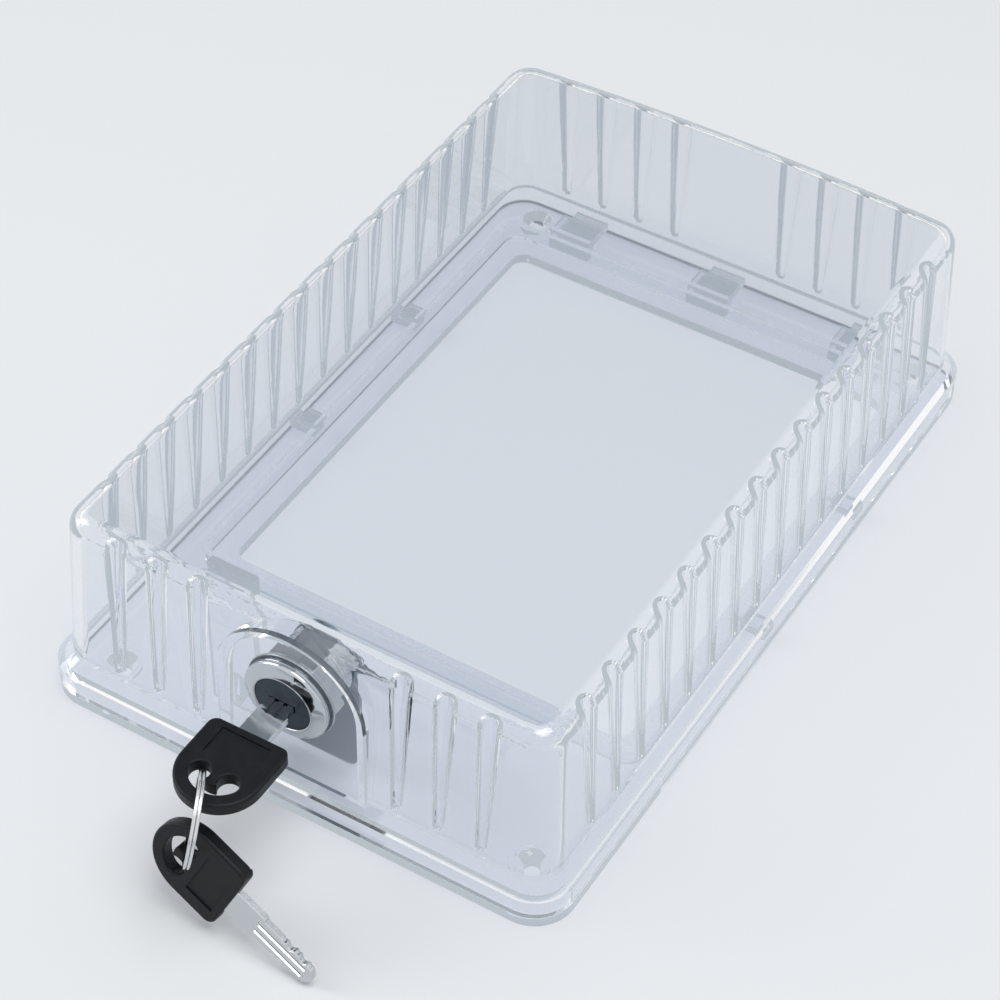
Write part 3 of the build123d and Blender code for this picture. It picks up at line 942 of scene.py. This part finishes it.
def blade_mesh(name, plane, groove_width, groove_depth):
    """A flat blade whose section changes along it: neck, shoulders, cuts, grooves, round tip."""
    origin, across, out = (Vector(v) for v in plane)
    across.normalize()
    out.normalize()
    along = out.cross(across)
    half_thick = BLADE_THICK / 2
    w, d = groove_width / MM / 2, groove_depth / MM
    count = int((BLADE_END - BLADE_START) / STATION)
    stations = [BLADE_START + i * STATION for i in range(count)]
    stations += [BLADE_END - 0.35, BLADE_END - 0.15, BLADE_END - 0.04]
    shape = bmesh.new()
    rings = []
    for y in stations:
        half = blade_half_width(y)
        near_end = min(y - GROOVE_START, BLADE_END - TIP_THIN - y)
        fade = max(0.0, min(1.0, near_end / GROOVE_FADE))
        edge = min(BLADE_EDGE, half * 0.3)
        tip = min(1.0, 0.45 + 0.55 * math.sqrt(max(0.0, min(1.0, (BLADE_END - y) / TIP_THIN))))
        thick = half_thick * tip
        top = [(-half, 0.0), (-half, thick - edge), (-half + edge, thick)]
        for middle in (-GROOVE_AT, GROOVE_AT):
            for dx, dz in ((-w, 0.0), (-w * 0.55, d), (w * 0.55, d), (w, 0.0)):
                x = max(-half * 0.86, min(half * 0.86, middle + dx))
                top.append((x, thick - dz * fade))
        top += [(half - edge, thick), (half, thick - edge), (half, 0.0)]
        bottom = [(x, -z) for x, z in reversed(top[1:-1])]
        ring = []
        for x, z in top + bottom:
            point = (origin + across * x + along * y + out * z) * MM
            ring.append(shape.verts.new(point))
        rings.append(ring)
    for a, b in zip(rings, rings[1:]):
        for i in range(len(a)):
            j = (i + 1) % len(a)
            shape.faces.new((a[i], a[j], b[j], b[i]))
    shape.faces.new(rings[0])
    shape.faces.new(rings[-1])
    bmesh.ops.remove_doubles(shape, verts=shape.verts, dist=0.001 * MM)
    bmesh.ops.recalc_face_normals(shape, faces=shape.faces)
    for face in shape.faces:
        face.smooth = True
    for line in shape.edges:
        line.smooth = line.calc_face_angle(0.0) < math.radians(40)
    mesh = bpy.data.meshes.new(name)
    shape.to_mesh(mesh)
    shape.free()
    return mesh


def soft_bow(plane, corner, edge):
    """A reshape that rounds the head's two corners beside the blade, its outline and its hole."""
    origin, across, out = (Vector(v) for v in plane)
    across.normalize()
    out.normalize()
    along = out.cross(across)

    def local(v):
        point = v.co / MM - origin
        return point.dot(across), point.dot(along), point.dot(out)

    def reshape(shape):
        upright = []
        for line in shape.edges:
            (xa, ya, za), (xb, yb, zb) = (local(v) for v in line.verts)
            on_corner = abs(abs(xa) - BOW_HALF) < 0.05 and abs(ya) < 0.05
            if on_corner and abs(xa - xb) < 0.01 and abs(za - zb) > 1:
                upright.append(line)
        if len(upright) != 2:
            raise RuntimeError("the key head's two corners were not found")
        bmesh.ops.bevel(shape, geom=upright, offset=corner, segments=8, profile=0.5, affect="EDGES")
        rim, hole = [], []
        for line in shape.edges:
            points = [local(v) for v in line.verts]
            if not all(abs(abs(z) - BOW_THICK / 2) < 0.02 for _, _, z in points):
                continue
            if line.calc_face_angle(0.0) < math.radians(50):
                continue
            x, y = ((points[0][i] + points[1][i]) / 2 for i in (0, 1))
            reach = math.hypot(x, y - BOW_ROUND)
            round_end = y < BOW_ROUND and reach > BOW_HALF - 0.6
            if y > -2.0 or abs(x) > BOW_HALF - 0.9 or round_end:
                rim.append(line)
            elif y < BOW_ROUND + 1.0 and reach < BOW_HALF - 3:
                hole.append(line)
        for lines, offset, segments in ((rim, edge, 4), (hole, edge * 0.6, 3)):
            bmesh.ops.bevel(
                shape,
                geom=[line for line in lines if line.is_valid],
                offset=offset,
                segments=segments,
                profile=0.5,
                affect="EDGES",
                clamp_overlap=False,
            )

    return reshape


class LOCKBOX_OT_keys(bpy.types.Operator):
    """Make both keys: black moulded heads and grooved nickel blades"""

    bl_idname = "lockbox.keys"
    bl_label = "Keys"

    def execute(self, context):
        props = context.scene.lockbox_keys
        plastic = black_moulded_plastic(props.plastic)
        # nickel-plated brass blade, milled before plating
        nickel = plated_metal("Nickel_plated_blade", colour("C9CCCF"), 0.08, 0.8, 0.0015, 0.08)
        for key, plane in KEY_PLANES.items():
            soften = soft_bow(plane, props.bow_corner, props.bow_edge)
            skin(key + "_bow", key + "_head", key, plastic, sharp=35, reshape=soften)
            mesh = blade_mesh(key + "_nickel", plane, props.groove_width, props.groove_depth)
            add_piece(key + "_nickel", mesh, key, nickel, key + "_blade")
        return {"FINISHED"}


# ---------------------------------------------------------------- split ring
RING_CENTRE = Vector((-0.267, -153.08, 34.09)) * MM
RING_AXIS = Vector((0.8572, 0.4791, -0.1891))
RING_UP = Vector((0.1651, 0.0923, 0.9820))
STRAND = 0.45 * MM  # from the ring's middle plane to each strand
RING_END_TURN = math.radians(200)  # where the wire ends lie, round the ring from its top
CROSSING = (0.47, 0.53)  # part of the wire's length over which the turns cross


def ring_tree():
    """Two turns of wire side by side that cross over in one place, between the wire's two ends."""
    tree, given, out = geometry_tree(
        "Split ring wire",
        {
            "Ring radius": ("NodeSocketFloat", 11.6 * MM),
            "Wire radius": ("NodeSocketFloat", 0.45 * MM),
            "Strand offset": ("NodeSocketFloat", STRAND),
            "End gap": ("NodeSocketFloat", math.radians(17)),
            "Material": ("NodeSocketMaterial", None),
        },
    )
    # two full turns, less the gap at each end
    gap_turns = node(tree, "ShaderNodeMath", {0: given["End gap"], 1: math.pi}, operation="DIVIDE")
    turns = node(tree, "ShaderNodeMath", {0: 2.0, 1: gap_turns.outputs[0]}, operation="SUBTRACT")
    coil = node(
        tree,
        "GeometryNodeCurveSpiral",
        {
            "Resolution": 96,
            "Rotations": turns.outputs[0],
            "Start Radius": given["Ring radius"],
            "End Radius": given["Ring radius"],
            "Height": 0.0,
        },
    )
    along = node(tree, "GeometryNodeSplineParameter")
    low = node(tree, "ShaderNodeMath", {0: given["Strand offset"], 1: -1.0}, operation="MULTIPLY")
    shift = node(
        tree,
        "ShaderNodeMapRange",
        {
            "Value": along.outputs["Factor"],
            "From Min": CROSSING[0],
            "From Max": CROSSING[1],
            "To Min": low.outputs[0],
            "To Max": given["Strand offset"],
        },
        interpolation_type="SMOOTHSTEP",
    )
    offset = node(tree, "ShaderNodeCombineXYZ", {"Z": shift.outputs["Result"]})
    stepped = node(
        tree,
        "GeometryNodeSetPosition",
        {"Geometry": coil.outputs["Curve"], "Offset": offset.outputs["Vector"]},
    )
    wire = node(
        tree,
        "GeometryNodeCurvePrimitiveCircle",
        {"Resolution": 16, "Radius": given["Wire radius"]},
    )
    bent = node(
        tree,
        "GeometryNodeCurveToMesh",
        {
            "Curve": stepped.outputs["Geometry"],
            "Profile Curve": wire.outputs["Curve"],
            "Fill Caps": True,
        },
    )
    real = node(tree, "GeometryNodeRealizeInstances", {"Geometry": bent.outputs["Mesh"]})
    coated = node(
        tree,
        "GeometryNodeSetMaterial",
        {"Geometry": real.outputs["Geometry"], "Material": given["Material"]},
    )
    tree.links.new(coated.outputs["Geometry"], out.inputs["Geometry"])
    return tree


class LOCKBOX_OT_split_ring(bpy.types.Operator):
    """Wind the split ring that joins the two keys"""

    bl_idname = "lockbox.split_ring"
    bl_label = "Split ring"

    def execute(self, context):
        props = context.scene.lockbox_ring
        # nickel-plated spring wire, drawn bright
        bright = plated_metal("Bright_nickel_wire", colour("D2D4D6"), 0.1, 0.4, 0.003, 0.06)
        sizes = {"Ring radius": props.radius, "Wire radius": props.wire, "End gap": props.gap}
        mesh = grow("split_ring", ring_tree(), {**sizes, "Material": bright})
        # the wire ends lie where the ring hangs free, low on its far side
        turn = RING_END_TURN + props.gap
        side = RING_AXIS.cross(RING_UP)
        first = RING_UP * math.cos(turn) + side * math.sin(turn)
        second = RING_AXIS.cross(first)
        place = Matrix((first, second, RING_AXIS)).transposed().to_4x4()
        place.translation = RING_CENTRE
        mesh.transform(place)
        for face in mesh.polygons:
            face.use_smooth = len(face.vertices) == 4
        add_piece("split_ring", mesh, "ring", bright, "key_ring")
        return {"FINISHED"}


# ---------------------------------------------------------------- studio
# Camera solved from the photograph: its place, its right, up and back directions, lens and shift
CAMERA_PLACE = (0.2924, -0.5065, 0.5985)
CAMERA_RIGHT = (0.8525, 0.5225, 0.0111)
CAMERA_UP = (-0.3771, 0.6003, 0.7053)
CAMERA_BACK = (0.3619, -0.6055, 0.7088)
CAMERA_LENS = 110.185
CAMERA_SHIFT = (0.00345, -0.00187)
FLOOR_HALF = 4.0
FLOOR_Z = -0.0001  # just under the box's back face
MIDDLE = (0, 0, 0.03)  # middle of the box, where the lamps aim

# Softboxes: place and size. Cards: place, what they face, and size
OVERHEAD = ((0.4, -0.1, 1.5), (1.0, 0.9))
LEFT = ((-1.2, -0.5, 0.8), (0.5, 1.0))
CARD_BEHIND = ((-0.6, 1.0, 1.15), MIDDLE, (1.3, 1.0))
CARD_IN_FRONT = ((-0.012, -0.42, 0.032), (0, -0.117, 0.032), (0.08, 0.06))


def softbox(name, place, size, power):
    """A rectangular softbox aimed at the middle of the box."""
    data = bpy.data.lights.new(name, "AREA")
    data.shape = "RECTANGLE"
    data.size, data.size_y = size
    data.energy = power
    lamp = bpy.data.objects.new(name, data)
    lamp.location = place
    lamp.rotation_mode = "QUATERNION"
    lamp.rotation_quaternion = (Vector(MIDDLE) - Vector(place)).to_track_quat("-Z", "Y")
    bpy.context.scene.collection.objects.link(lamp)


def dark_card(name, place, target, size, finish):
    """A card out of shot that shows only in reflections and through clear edges."""
    shape = bmesh.new()
    bmesh.ops.create_grid(shape, x_segments=1, y_segments=1, size=0.5)
    turn = (Vector(target) - Vector(place)).to_track_quat("Z", "Y")
    for v in shape.verts:
        v.co = Vector(place) + turn @ Vector((v.co.x * size[0], v.co.y * size[1], 0))
    mesh = bpy.data.meshes.new(name)
    shape.to_mesh(mesh)
    shape.free()
    mesh.materials.append(finish)
    card = bpy.data.objects.new(name, mesh)
    bpy.context.scene.collection.objects.link(card)
    card.visible_camera = False
    card.visible_diffuse = False
    card.visible_shadow = False


class LOCKBOX_OT_studio(bpy.types.Operator):
    """Lay the plain floor, set the soft lamps and place the camera"""

    bl_idname = "lockbox.studio"
    bl_label = "Studio"

    def execute(self, context):
        props = context.scene.lockbox_studio
        scene = context.scene
        shape = bmesh.new()
        bmesh.ops.create_grid(shape, x_segments=1, y_segments=1, size=FLOOR_HALF)
        mesh = bpy.data.meshes.new("studio_floor")
        shape.to_mesh(mesh)
        shape.free()
        mesh.transform(Matrix.Translation((0, 0, FLOOR_Z)))
        mesh.materials.append(matt_board(props.floor))
        floor = bpy.data.objects.new("studio_floor", mesh)
        scene.collection.objects.link(floor)

        softbox("Softbox_overhead", *OVERHEAD, props.overhead)
        softbox("Softbox_left", *LEFT, props.side)
        dark_card("Card_behind", *CARD_BEHIND, matt_board(props.card))
        dark_card("Card_in_front", *CARD_IN_FRONT, matt_board(colour("15181B")))

        world = bpy.data.worlds.new("Studio")
        scene.world = world
        world.use_nodes = True
        tree = world.node_tree
        tree.nodes.clear()
        # what the camera and reflections see is white, and what lights the scene is the softer fill
        path = node(tree, "ShaderNodeLightPath")
        seen = node(
            tree,
            "ShaderNodeMath",
            {0: path.outputs["Is Camera Ray"], 1: path.outputs["Is Glossy Ray"]},
            operation="MAXIMUM",
        )
        shown = node(
            tree,
            "ShaderNodeMath",
            {0: seen.outputs[0], 1: path.outputs["Is Transmission Ray"]},
            operation="MAXIMUM",
        )
        fill = node(
            tree,
            "ShaderNodeBackground",
            {"Color": opaque(colour("F4F7FA")), "Strength": props.fill},
        )
        white = node(
            tree,
            "ShaderNodeBackground",
            {"Color": opaque(colour("FFFFFF")), "Strength": 1.0},
        )
        mixed = node(
            tree,
            "ShaderNodeMixShader",
            {0: shown.outputs[0], 1: fill.outputs["Background"], 2: white.outputs["Background"]},
        )
        node(tree, "ShaderNodeOutputWorld", {"Surface": mixed.outputs["Shader"]})

        lens = bpy.data.cameras.new("Camera")
        lens.lens = CAMERA_LENS
        lens.sensor_width = 36.0
        lens.shift_x, lens.shift_y = CAMERA_SHIFT
        camera = bpy.data.objects.new("Camera", lens)
        scene.collection.objects.link(camera)
        columns = Matrix((CAMERA_RIGHT, CAMERA_UP, CAMERA_BACK)).transposed().to_4x4()
        columns.translation = CAMERA_PLACE
        camera.matrix_world = columns
        scene.camera = camera
        scene.view_settings.view_transform = "Standard"
        return {"FINISHED"}


# ---------------------------------------------------------------- panel
class LOCKBOX_PT_panel(bpy.types.Panel):
    """Sizes, colours and one button for each step"""

    bl_idname = "LOCKBOX_PT_panel"
    bl_label = "Thermostat lock box"
    bl_space_type = "VIEW_3D"
    bl_region_type = "UI"
    bl_category = "Lock box"

    def draw(self, context):
        layout = self.layout
        for group, operator in STEPS:
            box = layout.box()
            props = getattr(context.scene, group)
            for name in props.__annotations__:
                box.prop(props, name)
            box.operator(operator.bl_idname)


STEPS = (
    ("lockbox_plastic", LOCKBOX_OT_clear_shell),
    ("lockbox_lock", LOCKBOX_OT_cam_lock),
    ("lockbox_lock", LOCKBOX_OT_wafers),
    ("lockbox_keys", LOCKBOX_OT_keys),
    ("lockbox_ring", LOCKBOX_OT_split_ring),
    ("lockbox_studio", LOCKBOX_OT_studio),
)
GROUPS = {
    "lockbox_plastic": LOCKBOX_PG_plastic,
    "lockbox_lock": LOCKBOX_PG_lock,
    "lockbox_keys": LOCKBOX_PG_keys,
    "lockbox_ring": LOCKBOX_PG_ring,
    "lockbox_studio": LOCKBOX_PG_studio,
}
CLASSES = (*GROUPS.values(), *(operator for _, operator in STEPS), LOCKBOX_PT_panel)


def register():
    for item in CLASSES:
        bpy.utils.register_class(item)
    for name, group in GROUPS.items():
        setattr(bpy.types.Scene, name, bpy.props.PointerProperty(type=group))


def unregister():
    for name in GROUPS:
        delattr(bpy.types.Scene, name)
    for item in reversed(CLASSES):
        bpy.utils.unregister_class(item)


def main():
    register()
    for _, operator in STEPS:
        area, name = operator.bl_idname.split(".")
        getattr(getattr(bpy.ops, area), name)()


if __name__ == "__main__":
    main()
